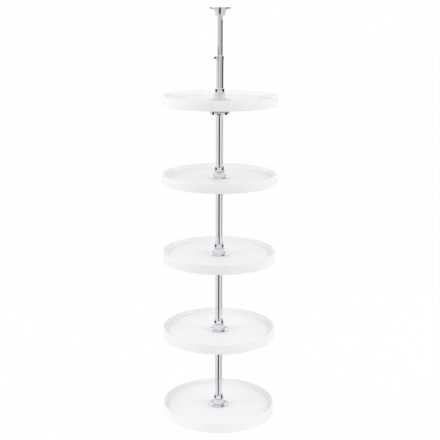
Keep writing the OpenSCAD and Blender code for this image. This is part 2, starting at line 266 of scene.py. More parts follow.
def cut_away(mesh: bpy.types.Mesh, cutters: Sequence[Surface]) -> bpy.types.Mesh:
    """Takes the cutters' volumes out of a mesh.

    Args:
        mesh: The closed mesh to cut.
        cutters: Closed surfaces, none touching another.

    Returns:
        A new mesh that replaces the one given.
    """
    body = bpy.data.objects.new("cut_body", mesh)
    bpy.context.scene.collection.objects.link(body)
    tool_mesh = as_mesh("cut_tool", cutters[0].joined(*cutters[1:]))
    tool = bpy.data.objects.new("cut_tool", tool_mesh)
    bpy.context.scene.collection.objects.link(tool)
    modifier = body.modifiers.new("cut", "BOOLEAN")
    modifier.operation, modifier.solver, modifier.object = "DIFFERENCE", "EXACT", tool
    graph = bpy.context.evaluated_depsgraph_get()
    result = bpy.data.meshes.new_from_object(body.evaluated_get(graph))
    for thing in (body, tool):
        bpy.data.objects.remove(thing)
    bpy.data.meshes.remove(tool_mesh)
    return result


def as_mesh(name: str, surface: Surface) -> bpy.types.Mesh:
    """A mesh with the surface's points and faces.

    Args:
        name: Its name.
        surface: What it is made of.

    Returns:
        The new mesh.
    """
    mesh = bpy.data.meshes.new(name)
    mesh.from_pydata(surface.points.tolist(), [], surface.faces)
    mesh.validate()
    return mesh


@dataclass(frozen=True)
class Seat:
    """Where a piece belongs: the body it rides on, its slot (not used), and the nodes it stands
    for.
    """

    body: str
    slot: str
    nodes: tuple[str, ...] = ()


def add_piece(
    name: str,
    surface: Surface,
    finish: bpy.types.Material,
    seat: Seat,
    cutters: Sequence[Surface] = (),
    sharp: float = 35.0,
) -> bpy.types.Object:
    """Makes one finished piece of the object.

    Args:
        name: The piece's name.
        surface: Its closed surface, already in place.
        finish: Its material.
        seat: Its body and the nodes that it replaces; its slot is not used.
        cutters: Closed surfaces that are taken out of it.
        sharp: Edges that turn by more degrees than this stay crisp.

    Returns:
        The new object.
    """
    mesh = as_mesh(name, surface)
    if cutters:
        mesh = cut_away(mesh, cutters)
        mesh.name = name
    mesh.materials.clear()
    mesh.materials.append(finish)
    shade(mesh, sharp)
    piece = bpy.data.objects.new(name, mesh)
    bpy.context.scene.collection.objects.link(piece)
    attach(piece, seat.body)
    if seat.nodes:
        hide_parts(*seat.nodes)
    LOG.info("%s: %d faces on %s", name, len(mesh.polygons), seat.body)
    return piece


def dress_node(name: str, finish: bpy.types.Material) -> None:
    """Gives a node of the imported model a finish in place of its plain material.

    Args:
        name: The node's name.
        finish: Its new material.
    """
    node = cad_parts[name]
    node.data.materials.clear()
    node.data.materials.append(finish)
    LOG.info("%s: kept, with %s", name, finish.name)


# ---------------------------------------------------------------- finishes


class Coordinates(Enum):
    """What a finish's pattern follows."""

    EVEN = (1.0, 1.0, 1.0)
    ALONG_POST = (1.0, 1.0, 0.02)
    ROUND_POST = (0.06, 0.06, 1.0)


@dataclass
class Shader:
    """The nodes of a material or of the world, under construction."""

    owner: bpy.types.Material | bpy.types.World
    bare: bool = False

    def __post_init__(self) -> None:
        """Turns nodes on, and clears them for a look that is built from nothing."""
        self.owner.use_nodes = True
        self.tree = self.owner.node_tree
        if self.bare:
            self.tree.nodes.clear()

    @property
    def bsdf(self) -> Node:
        """The main shader that a new material comes with."""
        return self.tree.nodes["Principled BSDF"]

    def add(self, kind: str, **settings: object) -> Node:
        """A new node.

        Args:
            kind: Its kind.
            **settings: Its own settings.

        Returns:
            The node.
        """
        node = self.tree.nodes.new(kind)
        for key, value in settings.items():
            setattr(node, key, value)
        return node

    def wire(self, source: Socket, target: Socket) -> None:
        """Links two sockets."""
        self.tree.links.new(source, target)

    def mixed_output(self, kind: str, share: Socket, first: Node, second: Node) -> None:
        """Mixes two shaders and makes them the look.

        Args:
            kind: Kind of the output node.
            share: How much of the second shows.
            first: The one that shows at a share of 0.
            second: The one that shows at a share of 1.
        """
        mix, out = self.add("ShaderNodeMixShader"), self.add(kind)
        self.wire(share, mix.inputs["Fac"])
        self.wire(first.outputs[0], mix.inputs[1])
        self.wire(second.outputs[0], mix.inputs[2])
        self.wire(mix.outputs[0], out.inputs["Surface"])

    def place(self, stretch: Coordinates) -> Socket:
        """Object coordinates, stretched along or round the post.

        Args:
            stretch: What the pattern follows.

        Returns:
            The coordinates.
        """
        where = self.add("ShaderNodeTexCoord")
        mapping = self.add("ShaderNodeMapping")
        mapping.inputs["Scale"].default_value = stretch.value
        self.wire(where.outputs["Object"], mapping.inputs["Vector"])
        return mapping.outputs["Vector"]

    def noise(self, scale: float, detail: float, stretch: Coordinates = Coordinates.EVEN) -> Socket:
        """Noise, as a number round 0.5.

        Args:
            scale: Number of cells per metre.
            detail: Number of finer layers.
            stretch: What the cells follow.

        Returns:
            The number.
        """
        node = self.add("ShaderNodeTexNoise")
        node.inputs["Scale"].default_value = scale
        node.inputs["Detail"].default_value = detail
        self.wire(self.place(stretch), node.inputs["Vector"])
        return node.outputs["Fac"]

    def spread(
        self, value: Socket, low: float, high: float, start: float = 0.3, stop: float = 0.7,
    ) -> Socket:
        """Maps one range to another in a straight line and holds the ends.

        Args:
            value: The number to map.
            low: What start becomes.
            high: What stop becomes.
            start: One end of the range of the number.
            stop: Its other end.

        Returns:
            The mapped number.
        """
        node = self.add("ShaderNodeMapRange")
        node.inputs["From Min"].default_value = start
        node.inputs["From Max"].default_value = stop
        node.inputs["To Min"].default_value = low
        node.inputs["To Max"].default_value = high
        self.wire(value, node.inputs["Value"])
        return node.outputs["Result"]

    def blend(self, share: Socket, first: Sequence[float], second: Sequence[float]) -> Socket:
        """Goes from one colour to another.

        Args:
            share: How much of the second colour shows.
            first: The first colour.
            second: The second colour.

        Returns:
            The colour.
        """
        node = self.add("ShaderNodeMix", data_type="RGBA")
        node.inputs["A"].default_value = (*first, 1.0)
        node.inputs["B"].default_value = (*second, 1.0)
        self.wire(share, node.inputs["Factor"])
        return node.outputs["Result"]

    def bump(
        self, height: Socket, strength: float, depth: float, below: Socket | None = None
    ) -> Socket:
        """Tilts the surface as a height field would.

        Args:
            height: The height field, from 0 to 1.
            strength: How much of the tilt shows.
            depth: Real height from 0 to 1.
            below: The tilt that this one goes on top of.

        Returns:
            The tilted normal.
        """
        node = self.add("ShaderNodeBump")
        node.inputs["Strength"].default_value = strength
        node.inputs["Distance"].default_value = depth
        self.wire(height, node.inputs["Height"])
        if below is not None:
            self.wire(below, node.inputs["Normal"])
        return node.outputs["Normal"]


@dataclass(frozen=True)
class MouldedPolymer:
    """White moulded polymer: a satin skin with a fine grain and faint flow marks."""

    name: str
    colour: tuple[float, float, float]
    shadow_colour: tuple[float, float, float]
    roughness: tuple[float, float]
    grain: float = 1400.0
    gloss: float = 0.5

    def make(self) -> bpy.types.Material:
        """Builds the material.

        Returns:
            The new material.
        """
        s = Shader(bpy.data.materials.new(self.name))
        clouds = s.spread(s.noise(scale=5.0, detail=3.0), 0.0, 1.0)
        s.wire(s.blend(clouds, self.colour, self.shadow_colour), s.bsdf.inputs["Base Color"])
        satin = s.spread(s.noise(scale=24.0, detail=4.0), *self.roughness)
        s.wire(satin, s.bsdf.inputs["Roughness"])
        flow = s.bump(s.noise(scale=14.0, detail=2.0), strength=0.05, depth=0.3 * MM)
        grain = s.noise(self.grain, detail=2.0)
        skin = s.bump(grain, strength=0.12, depth=0.04 * MM, below=flow)
        s.wire(skin, s.bsdf.inputs["Normal"])
        s.bsdf.inputs["IOR"].default_value = 1.49
        s.bsdf.inputs["Specular IOR Level"].default_value = self.gloss
        return s.owner


@dataclass(frozen=True)
class Plated:
    """Plated metal: mirror bright, with polishing lines and faint handling marks."""

    name: str
    colour: tuple[float, float, float]
    haze_colour: tuple[float, float, float]
    roughness: tuple[float, float]
    lines: Coordinates
    line_scale: float = 900.0
    line_strength: float = 0.03

    def make(self) -> bpy.types.Material:
        """Builds the material.

        Returns:
            The new material.
        """
        s = Shader(bpy.data.materials.new(self.name))
        s.bsdf.inputs["Metallic"].default_value = 1.0
        clouds = s.spread(s.noise(scale=9.0, detail=4.0), 0.0, 1.0)
        s.wire(s.blend(clouds, self.colour, self.haze_colour), s.bsdf.inputs["Base Color"])
        hands = s.noise(scale=60.0, detail=6.0)
        marks = s.spread(hands, *self.roughness, start=0.35, stop=0.75)
        s.wire(marks, s.bsdf.inputs["Roughness"])
        polish = s.noise(self.line_scale, detail=3.0, stretch=self.lines)
        lines = s.bump(polish, self.line_strength, depth=0.02 * MM)
        s.wire(lines, s.bsdf.inputs["Normal"])
        return s.owner


@dataclass(frozen=True)
class Finishes:
    """Every finish of the unit, made once."""

    white: bpy.types.Material
    tube: bpy.types.Material
    cast: bpy.types.Material
    satin: bpy.types.Material
    collar: bpy.types.Material
    acetal: bpy.types.Material
    zinc: bpy.types.Material
    black: bpy.types.Material
    nickel: bpy.types.Material

    @staticmethod
    def made() -> Finishes:
        """Builds all the finishes.

        Returns:
            The nine finishes.
        """
        even = Coordinates.EVEN
        along, round_post = Coordinates.ALONG_POST, Coordinates.ROUND_POST
        milk, pale = (0.9, 0.9, 0.907), (0.885, 0.885, 0.892)
        ivory, deep_ivory = (0.8, 0.79, 0.75), (0.76, 0.75, 0.71)
        chrome, haze = (0.83, 0.84, 0.85), (0.78, 0.79, 0.81)
        zinc, dull_zinc = (0.72, 0.73, 0.75), (0.62, 0.64, 0.68)
        soot, deep_soot = (0.02, 0.02, 0.022), (0.012, 0.012, 0.013)
        nickel, dull_nickel = (0.24, 0.25, 0.27), (0.19, 0.2, 0.22)
        return Finishes(
            white=MouldedPolymer("white_polymer", milk, pale, (0.38, 0.48), gloss=0.35).make(),
            tube=Plated("chrome_tube", chrome, haze, (0.03, 0.07), along).make(),
            cast=Plated(
                "chrome_cast", chrome, haze, (0.05, 0.1), even,
                line_scale=120.0, line_strength=0.08,
            ).make(),
            satin=Plated(
                "chrome_satin", chrome, haze, (0.24, 0.34), even,
                line_scale=200.0, line_strength=0.08,
            ).make(),
            collar=Plated("chrome_turned", chrome, haze, (0.04, 0.09), round_post).make(),
            acetal=MouldedPolymer("ivory_acetal", ivory, deep_ivory, (0.42, 0.55)).make(),
            zinc=Plated("zinc_plated", zinc, dull_zinc, (0.2, 0.35), even).make(),
            # Black oxide for the set screws and the washer; the same finish colours the black
            # strips and rings of painted shade.
            black=Plated("black_oxide_and_shade", soot, deep_soot, (0.5, 0.65), even).make(),
            nickel=Plated("nickel_plated", nickel, dull_nickel, (0.25, 0.4), even).make(),
        )


# ---------------------------------------------------------------- one level


@dataclass
class Screws:
    """Set screws and pan head screws, each a loft of rings along its own axis."""

    points: int = 36
    thread_pitch: float = 1.0 * MM
    thread_depth: float = 0.35 * MM
    pin_chamfer: float = 0.5 * MM
    pin_chamfer_t: float = 0.3 * MM
    dome_share: float = 0.6
    recess_length: float = 0.55
    recess_width: float = 0.13
    recess_taper: float = 0.8
    recess_floor: float = 0.35

    def thread(self, radius: float, low: float, high: float) -> tuple[list[Array], list[float]]:
        """Rings whose radius goes in and out once per pitch, from low to high.

        Args:
            radius: Outer radius of the thread.
            low: Height of the first ring.
            high: Height of the last ring.

        Returns:
            The rings' radii and their heights.
        """
        turns = max(2, int((high - low) / self.thread_pitch))
        heights = np.linspace(low, high, 2 * turns + 1)
        inner = np.arange(len(heights)) % 2 == 0
        radii = [np.full(self.points, radius - self.thread_depth * i) for i in inner]
        return radii, heights.tolist()

    def set_screw(self, diameter: float, length: float, socket: float, depth: float) -> Surface:
        """A threaded pin with a hexagon socket in its top.

        Args:
            diameter: Outer diameter.
            length: Whole length, from z = 0 up.
            socket: Width of the hexagon over its corners.
            depth: Depth of the socket.

        Returns:
            The closed surface.
        """
        radii, z = self.thread(diameter / 2, 0.0, length - self.pin_chamfer_t)
        rim = np.full(self.points, diameter / 2 - self.pin_chamfer)
        socket_ring = hexagon(socket, self.points)
        radii += [rim, socket_ring, socket_ring]
        z += [length, length, length - depth]
        return lofted(ring_points(np.array(radii), np.array(z)))

    def hole_mouth_shade(self, inner: float, outer: float, low: float, high: float) -> Surface:
        """A black ring of painted shade in the mouth of a set screw's hole, with broken edges.

        Args:
            inner: Its inner radius.
            outer: Its outer radius.
            low: Where it starts along the hole.
            high: Where it ends.

        Returns:
            The closed surface.
        """
        edge = min(0.2 * MM, (outer - inner) / 4)
        return turned(path(
            [inner, low], [outer, low], [outer, high - edge],
            [outer - edge, high], [inner + edge, high], [inner, high - edge],
        ), self.points)

    def pan_head(self, shank: float, length: float, head: float, height: float) -> Surface:
        """A screw whose head stands above z = 0 and whose threaded shank hangs below.

        Args:
            shank: Diameter of the shank.
            length: Length of the shank.
            head: Diameter of the head.
            height: Height of the head.

        Returns:
            The closed surface.
        """
        radii, z = self.thread(shank / 2, -length, 0.0)
        dome_radius = height * self.dome_share
        dome = arc(head / 2 - dome_radius, height - dome_radius, dome_radius, 0, 90, 5)
        recess = cross(head * self.recess_length, head * self.recess_width, self.points)
        radii += [np.full(self.points, head / 2)]
        z += [0.0]
        radii += [np.full(self.points, r) for r in dome[:, 0]]
        radii += [recess, recess * self.recess_taper]
        z += dome[:, 1].tolist() + [height, height * self.recess_floor]
        return lofted(ring_points(np.array(radii), np.array(z)))


@dataclass
class Tray:
    """One tray: a shell turned round the post, with ribs and screw bosses under its floor."""

    level: int
    skirt_lean: float = 2.4 * MM
    height: float = 38.0 * MM
    depth: float = 19.0 * MM
    floor: float = 3.0 * MM
    skirt: float = 2.6 * MM
    rim: float = 3.4 * MM
    rim_round: float = 1.6 * MM
    liner_lean: float = 5.0 * MM
    fillet: float = 8.0 * MM
    boss_radius: float = 30.0 * MM
    bore_radius: float = 23.2 * MM
    rib_depth: float = 13.0 * MM
    rib_width: float = 2.4 * MM
    rib_foot: float = 0.8 * MM
    rib_draft: float = 0.2 * MM
    rib_into: float = 1.2 * MM
    ring_ribs: tuple[float, float] = (95.0 * MM, 158.0 * MM)
    rib_count: int = 12
    screw_circle: float = 33.0 * MM
    screw_count: int = 4
    segments: int = 256

    def __post_init__(self) -> None:
        """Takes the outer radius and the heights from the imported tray."""
        low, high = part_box(f"tray_{self.level}")
        self.radius = high.x
        self.rim_z = high.z
        self.boss_z = low.z
        self.floor_z = self.rim_z - self.depth
        self.under_z = self.floor_z - self.floor
        self.rib_z = self.under_z - self.rib_depth

    def ring_rib(self, radius: float) -> Array:
        """Down one side of a ring rib and up the other, with a drafted wall and a round foot.

        Args:
            radius: The rib's radius about the post.

        Returns:
            Part of the shell's section.
        """
        half, foot = self.rib_width / 2, self.rib_foot
        inset = half - foot - self.rib_draft
        return path(
            [radius - half, self.under_z],
            arc(radius - inset, self.rib_z + foot, foot, 180, 270, 4),
            arc(radius + inset, self.rib_z + foot, foot, 270, 360, 4),
            [radius + half, self.under_z],
        )

    def section(self) -> Array:
        """The shell's section, anticlockwise from the foot of the middle boss.

        Returns:
            The closed section: radii and heights.
        """
        rim_r = self.radius - self.skirt_lean
        liner_top = rim_r - self.rim
        slope = math.atan2(self.depth, self.liner_lean)
        fillet_x = liner_top - self.liner_lean - self.fillet / math.tan((math.pi - slope) / 2)
        fillet_z = self.floor_z + self.fillet
        lean = math.degrees(slope) - 90
        skirt_in = rim_r - self.skirt
        back_r = liner_top + self.floor / math.sin(slope)
        vee = (back_r - skirt_in) / (self.liner_lean / self.depth + self.skirt_lean / self.height)
        foot, bend = self.rim_z - self.height, self.rim_round
        edge, corner, nose, back = 0.6 * MM, 2.0 * MM, 0.7 * MM, 0.9 * MM
        return path(
            [self.bore_radius, self.boss_z],
            arc(self.boss_radius - edge, self.boss_z + edge, edge, 270, 360, 4),
            arc(self.boss_radius + corner, self.under_z - corner, corner, 180, 90, 5),
            *[self.ring_rib(r) for r in self.ring_ribs],
            arc(fillet_x, fillet_z, self.fillet + self.floor, -90, lean, 12),
            arc(skirt_in - back, self.rim_z - vee - nose, nose, 150, 20, 5),
            arc(self.radius - self.skirt + edge, foot + edge, edge, 180, 270, 4),
            arc(self.radius - edge, foot + edge, edge, 270, 360, 4),
            arc(rim_r - bend, self.rim_z - bend, bend, 0, 90, 8),
            arc(liner_top + bend, self.rim_z - bend, bend, 90, 180, 8),
            arc(fillet_x, fillet_z, self.fillet, lean, -90, 12),
            *[[r, self.floor_z] for r in np.linspace(fillet_x - 10 * MM, self.bore_radius, 8)],
        )

    def rib(self, angle: float) -> Surface:
        """A radial rib: a drafted section with a round foot, carried outwards.

        Args:
            angle: Its direction about the post.

        Returns:
            The closed surface.
        """
        half, foot, into = self.rib_width / 2, self.rib_foot, self.rib_into
        section = path(
            [-half - self.rib_draft, self.under_z + into],
            arc(-half + foot, self.rib_z + foot, foot, 180, 270, 3),
            arc(half - foot, self.rib_z + foot, foot, 270, 360, 3),
            [half + self.rib_draft, self.under_z + into],
        )
        ends = (self.boss_radius - into, self.radius - self.skirt_lean - self.skirt / 2)
        places = np.linspace(*ends, 12)
        rings = [np.column_stack([np.full(len(section), x), section]) for x in places]
        return lofted(np.stack(rings)).moved(Matrix.Rotation(angle, 4, "Z"))

    def screw_boss(self, angle: float) -> Surface:
        """A blind tube that hangs from the floor, for one of the hub's screws.

        Args:
            angle: Its direction about the post.

        Returns:
            The closed surface.
        """
        outer, bore, edge, steps, into = 5.3 * MM, 2.15 * MM, 0.5 * MM, 40, 1.0 * MM
        profile = path(
            [outer, self.under_z + into],
            arc(outer - edge, self.rib_z + edge, edge, 0, -90, 3),
            [bore, self.rib_z],
            [bore, self.under_z - into],
        )
        radii = np.repeat(profile[::-1, 0][:, None], steps, 1)
        tube = lofted(ring_points(radii[::-1], profile[:, 1]))
        tube.faces = [f[::-1] for f in tube.faces]
        outwards = Matrix.Translation((self.screw_circle, 0, 0))
        return tube.moved(Matrix.Rotation(angle, 4, "Z") @ outwards)

    def build(self, finishes: Finishes) -> None:
        """Makes the shell and what hangs under its floor.

        Args:
            finishes: Every finish.
        """
        body = f"shelf_{self.level}"
        shell = turned(self.section(), self.segments)
        seat = Seat(body, "tray_white", (f"tray_{self.level}",))
        add_piece(f"tray_shell_{self.level}", shell, finishes.white, seat)
        ribs = [self.rib(TURN * (k + 0.5) / self.rib_count) for k in range(self.rib_count)]
        angles = [TURN * (k + 0.5) / self.screw_count for k in range(self.screw_count)]
        bosses = [self.screw_boss(angle) for angle in angles]
        under = ribs[0].joined(*ribs[1:], *bosses)
        add_piece(f"tray_ribs_{self.level}", under, finishes.white, Seat(body, "tray_white"))


@dataclass
class Hub:
    """The chrome hub in a tray, with the screws through its flange."""

    level: int
    tray_floor: float
    flange: float = 3.0 * MM
    flange_round: float = 1.0 * MM
    base_radius: float = 23.3 * MM
    top_radius: float = 21.3 * MM
    top_round: float = 1.5 * MM
    sleeve_radius: float = 23.0 * MM
    bore_radius: float = 17.0 * MM
    recess_radius: float = 18.1 * MM
    recess_depth: float = 2.0 * MM
    fillet: float = 2.0 * MM
    screw_circle: float = 33.0 * MM
    screw_count: int = 4
    screw_shank: float = 4.0 * MM
    screw_length: float = 15.0 * MM
    screw_head: float = 8.0 * MM
    screw_head_t: float = 2.4 * MM

    def build(self, finishes: Finishes) -> None:
        """Makes the hub and its screws.

        Args:
            finishes: Every finish.
        """
        low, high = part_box(f"hub_{self.level}")
        top, face = high.z, self.tray_floor + self.flange
        r, f, edge = high.x, self.fillet, 0.3 * MM
        section = path(
            [self.bore_radius, low.z],
            arc(self.sleeve_radius - edge, low.z + edge, edge, 270, 360, 3),
            [self.sleeve_radius, self.tray_floor],
            arc(r - edge, self.tray_floor + edge, edge, 270, 360, 3),
            arc(r - self.flange_round, face - self.flange_round, self.flange_round, 0, 90, 6),
            arc(self.base_radius + f, face + f, f, 270, 180, 8),
            arc(self.top_radius - self.top_round, top - self.top_round, self.top_round, 0, 90, 8),
            [self.recess_radius, top],
            [self.recess_radius, top - self.recess_depth],
            [self.bore_radius, top - self.recess_depth],
        )
        seat = Seat(f"shelf_{self.level}", "chrome_cast", (f"hub_{self.level}",))
        add_piece(f"hub_body_{self.level}", turned(section, 160), finishes.cast, seat)
        sizes = (self.screw_shank, self.screw_length, self.screw_head, self.screw_head_t)
        screw = Screws().pan_head(*sizes)
        outwards = Matrix.Translation((self.screw_circle, 0, face))
        screws = [
            screw.moved(Matrix.Rotation(a, 4, "Z") @ outwards)
            for a in TURN * (np.arange(self.screw_count) + 0.5) / self.screw_count
        ]
        seat = Seat(f"shelf_{self.level}", "screw_zinc", (f"hub_screws_{self.level}",))
        all_four = screws[0].joined(*screws[1:])
        add_piece(f"hub_flange_screws_{self.level}", all_four, finishes.zinc, seat)


@dataclass
class Collar:
    """A chrome collar that is set on the post, with two drilled holes and their set screws.

    The ring sizes are those of the black ring of painted shade in the mouth of
    each hole: its inner radius, its depth, and how far it reaches past the
    screw's radius; the depth and the reach also size the hole's wider mouth.
    """

    node: str
    level: int
    low_round: float
    screw: float
    screw_length: float
    screw_angle: float
    shade_ring_inner: float
    shade_ring_depth: float
    shade_ring_margin: float
    high_round: float = 2.5 * MM
    bore_radius: float = 14.4 * MM
    screw_start: float = 14.6 * MM
    socket_wall: float = 1.4 * MM
    socket_depth: float = 2.0 * MM

    def section(self) -> Array:
        """The collar's section, with its outer edges rounded and the bore's upper one broken.

        Returns:
            The closed section: radii and heights.
        """
        low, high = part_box(f"{self.node}_{self.level}")
        a, b, edge = self.low_round, self.high_round, 0.3 * MM
        return path(
            [self.bore_radius, low.z],
            arc(high.x - a, low.z + a, a, 270, 360, 8),
            arc(high.x - b, high.z - b, b, 0, 90, 8),
            [self.bore_radius + edge, high.z],
            [self.bore_radius, high.z - edge],
        )

    def places(self) -> list[Matrix]:
        """Where each set screw's axis starts, on the post's axis."""
        low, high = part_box(f"{self.node}_{self.level}")
        middle = (low.z + high.z) / 2
        return [radial_matrix(FRONT + side * self.screw_angle, middle) for side in (-1, 1)]

    def build(self, finishes: Finishes) -> list[Surface]:
        """Makes the collar.

        Args:
            finishes: Every finish.

        Returns:
            The surfaces of its set screws and of the black rings of painted shade in their holes.
        """
        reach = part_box(f"{self.node}_{self.level}")[1].x
        points, past, inside, shade_ring_gap = Screws.points, 1 * MM, 3 * MM, 0.05 * MM
        thread, mouth = self.screw / 2 + CLEARANCE, self.screw / 2 + self.shade_ring_margin
        face = math.sqrt(reach ** 2 - mouth ** 2)
        step = face - self.shade_ring_depth
        radii = np.array([thread, thread, mouth, mouth, mouth + past])
        heights = np.array([self.bore_radius - inside, step, step, face, reach + past])
        hole = lofted(ring_points(np.repeat(radii[:, None], points, 1), heights))
        cutters = [hole.moved(m) for m in self.places()]
        seat = Seat(f"carrier_{self.level}", "chrome_collar", (f"{self.node}_{self.level}",))
        body = turned(self.section(), 128)
        add_piece(f"{self.node}_ring_{self.level}", body, finishes.collar, seat, cutters, 30)
        socket = self.screw - 2 * self.socket_wall
        pin = Screws().set_screw(self.screw, self.screw_length, socket, self.socket_depth)
        # A black ring of painted shade in each hole's mouth darkens the recess.
        ring = Screws().hole_mouth_shade(self.shade_ring_inner, mouth - shade_ring_gap, step + shade_ring_gap, face)
        parts = [pin.moved(Matrix.Translation((0, 0, self.screw_start))), ring]
        return [part.moved(m) for m in self.places() for part in parts]


@dataclass
class Level:
    """One level of the unit: a tray on its hub, between the two collars that hold it."""

    number: int

    def build(self, finishes: Finishes) -> None:
        """Makes every piece of the level.

        Args:
            finishes: Every finish.
        """
        tray = Tray(self.number)
        tray.build(finishes)
        Hub(self.number, tray.floor_z).build(finishes)
        support = Collar(
            "support_collar", self.number, low_round=2.5 * MM,
            screw=8 * MM, screw_length=14 * MM, screw_angle=math.radians(42),
            shade_ring_inner=3.6 * MM, shade_ring_depth=4 * MM, shade_ring_margin=1.5 * MM,
        )
        keeper = Collar(
            "keeper_collar", self.number, low_round=0.3 * MM,
            screw=10 * MM, screw_length=2.8 * MM, screw_angle=math.radians(52),
            shade_ring_inner=5.05 * MM, shade_ring_depth=0.4 * MM, shade_ring_margin=0.9 * MM,
        )
        # The collars' set screws and the black rings of painted shade in their holes make one
        # piece.
        pins_and_shade = support.build(finishes) + keeper.build(finishes)
        seat = Seat(f"carrier_{self.number}", "set_screw_black", (f"collar_screws_{self.number}",))
        screws_and_shade = pins_and_shade[0].joined(*pins_and_shade[1:])
        add_piece(f"collar_set_screws_and_shade_{self.number}", screws_and_shade, finishes.black, seat)
        for part in ("upper_bush", "lower_bush", "thrust_washer"):
            dress_node(f"{part}_{self.number}", finishes.acetal)


# ---------------------------------------------------------------- the post


@dataclass
class Tube:
    """A plain tube, turned, with its ends' edges broken."""

    node: str
    body: str
    wall: float

    def build(self, finishes: Finishes, cutters: Sequence[Surface] = ()) -> None:
        """Makes the tube.

        Args:
            finishes: Every finish.
            cutters: What is taken out of it.
        """
        low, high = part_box(self.node)
        out, edge = high.x, 0.3 * MM
        inner = out - self.wall
        heights = np.linspace(low.z + edge, high.z - edge, 24)
        section = path(
            [inner, low.z], [out - edge, low.z],
            *[[out, z] for z in heights],
            [out - edge, high.z], [inner, high.z],
        )
        seat = Seat(self.body, "chrome_tube", (self.node,))
        add_piece(f"{self.node}_chrome", turned(section, 128), finishes.tube, seat, cutters)


@dataclass
class Bracket:
    """A flanged cup with a slotted front, four countersunk holes and a set screw at the back."""

    node: str
    body: str
    tube_radius: float
    screw_length: float
    from_ceiling: bool
    edge_t: float = 5.0 * MM
    edge_round: float = 2.0 * MM
    flange_t: float = 7.5 * MM
    base_radius: float = 23.0 * MM
    mouth_radius: float = 20.0 * MM
    mouth_round: float = 3.0 * MM
    cup_fillet: float = 2.0 * MM
    seat_t: float = 4.0 * MM
    slot: float = 6.0 * MM
    hole_circle: float = 32.0 * MM
    hole_radius: float = 2.5 * MM
    sink_radius: float = 4.5 * MM
    sink_t: float = 2.0 * MM
    hole_count: int = 4
    screw: float = 6.0 * MM
    socket_wall: float = 1.4 * MM
    socket_depth: float = 2.0 * MM
    # How far up the cup the black strip of painted shade in the slot reaches, as a share of the
    # bracket's height.
    slot_shade_reach: float = 0.75
    axis_hole: float = 0.01 * MM

    def cutters(self, reach: float, height: float) -> list[Surface]:
        """What is taken out: the bore's slot, the flange's holes and the set screw's hole.

        Args:
            reach: Outer radius of the flange.
            height: Height of the bracket.

        Returns:
            The closed surfaces, with the flange at the bottom.
        """
        past, steps = 2 * MM, 48
        near = self.tube_radius / 2
        low, high = (-self.slot / 2, -reach - past, -past), (self.slot / 2, -near, height + past)
        radii = [self.hole_radius, self.hole_radius, self.sink_radius, self.sink_radius]
        heights = [-past, self.edge_t - self.sink_t, self.edge_t, self.flange_t + past]
        hole = lofted(ring_points(np.repeat(np.array(radii)[:, None], steps, 1), np.array(heights)))
        holes = [
            hole.moved(Matrix.Rotation(a, 4, "Z") @ Matrix.Translation((self.hole_circle, 0, 0)))
            for a in TURN * (np.arange(self.hole_count) + 0.5) / self.hole_count
        ]
        drilled = np.full((2, steps), self.screw / 2 + CLEARANCE)
        side = ring_points(drilled, np.array([near, reach]))
        back = radial_matrix(QUARTER, (self.flange_t + height) / 2)
        return [box_surface(low, high), *holes, lofted(side).moved(back)]

    def slot_shade_strip(self, reach: float, height: float) -> Surface:
        """A black strip of painted shade that closes the slot: deep in the flange, and part of the
        way up the cup.

        Args:
            reach: Outer radius of the flange.
            height: Height of the bracket.

        Returns:
            The closed surface, with the flange at the bottom.
        """
        half, inset = self.slot / 2 - 0.05 * MM, 1.2 * MM
        inner, skin, up = self.tube_radius + 0.5 * MM, 0.3 * MM, self.slot_shade_reach * height
        lean = (self.base_radius - self.mouth_radius) / (height - self.flange_t)
        foot, tip = self.base_radius - inset, self.base_radius - inset - (up - self.flange_t) * lean
        section = path(
            [-inner, skin], [-reach + inset, skin], [-reach + inset, self.edge_t - skin],
            [-foot, self.flange_t], [-tip, up], [-inner, up],
        )[::-1]
        rings = [np.column_stack([np.full(len(section), x), section]) for x in (-half, half)]
        return lofted(np.stack(rings))

    def build(self, finishes: Finishes) -> None:
        """Makes the bracket and its set screw.

        Args:
            finishes: Every finish.
        """
        low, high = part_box(self.node)
        reach, height = high.x, high.z - low.z
        bore, edge, f = self.tube_radius + CLEARANCE, 0.3 * MM, self.cup_fillet
        mouth = self.mouth_round
        section = path(
            [self.axis_hole, 0],
            arc(reach - edge, edge, edge, 270, 360, 3),
            arc(reach - self.edge_round, self.edge_t - self.edge_round, self.edge_round, 0, 90, 8),
            arc(self.base_radius + f, self.flange_t + f, f, 270, 180, 8),
            arc(self.mouth_radius - mouth, height - mouth, mouth, 0, 90, 10),
            [bore + edge, height], [bore, height - edge],
            [bore, self.seat_t], [self.axis_hole, self.seat_t],
        )
        place = Matrix.Translation((0, 0, low.z))
        if self.from_ceiling:
            place = Matrix.Translation((0, 0, high.z)) @ Matrix.Rotation(math.pi, 4, "Y")
        cup = turned(section, 144).moved(place)
        cutters = [c.moved(place) for c in self.cutters(reach, height)]
        seat = Seat(self.body, "chrome_bracket", (self.node,))
        add_piece(f"{self.node}_cup", cup, finishes.satin, seat, cutters, 30)
        # The black strip in the slot is painted shade: it stands for the dark cavity behind the
        # slot.
        slot_shade_strip = self.slot_shade_strip(reach, height).moved(place)
        seat = Seat(self.body, "set_screw_black")
        add_piece(f"{self.node}_slot_shade", slot_shade_strip, finishes.black, seat)
        socket = self.screw - 2 * self.socket_wall
        pin = Screws().set_screw(self.screw, self.screw_length, socket, self.socket_depth)
        lift = Matrix.Translation((0, 0, bore))
        where = place @ radial_matrix(QUARTER, (self.flange_t + height) / 2) @ lift
        seat = Seat(self.body, "set_screw_black", (f"{self.node}_screw",))
        add_piece(f"{self.node}_set_screw", pin.moved(where), finishes.black, seat)


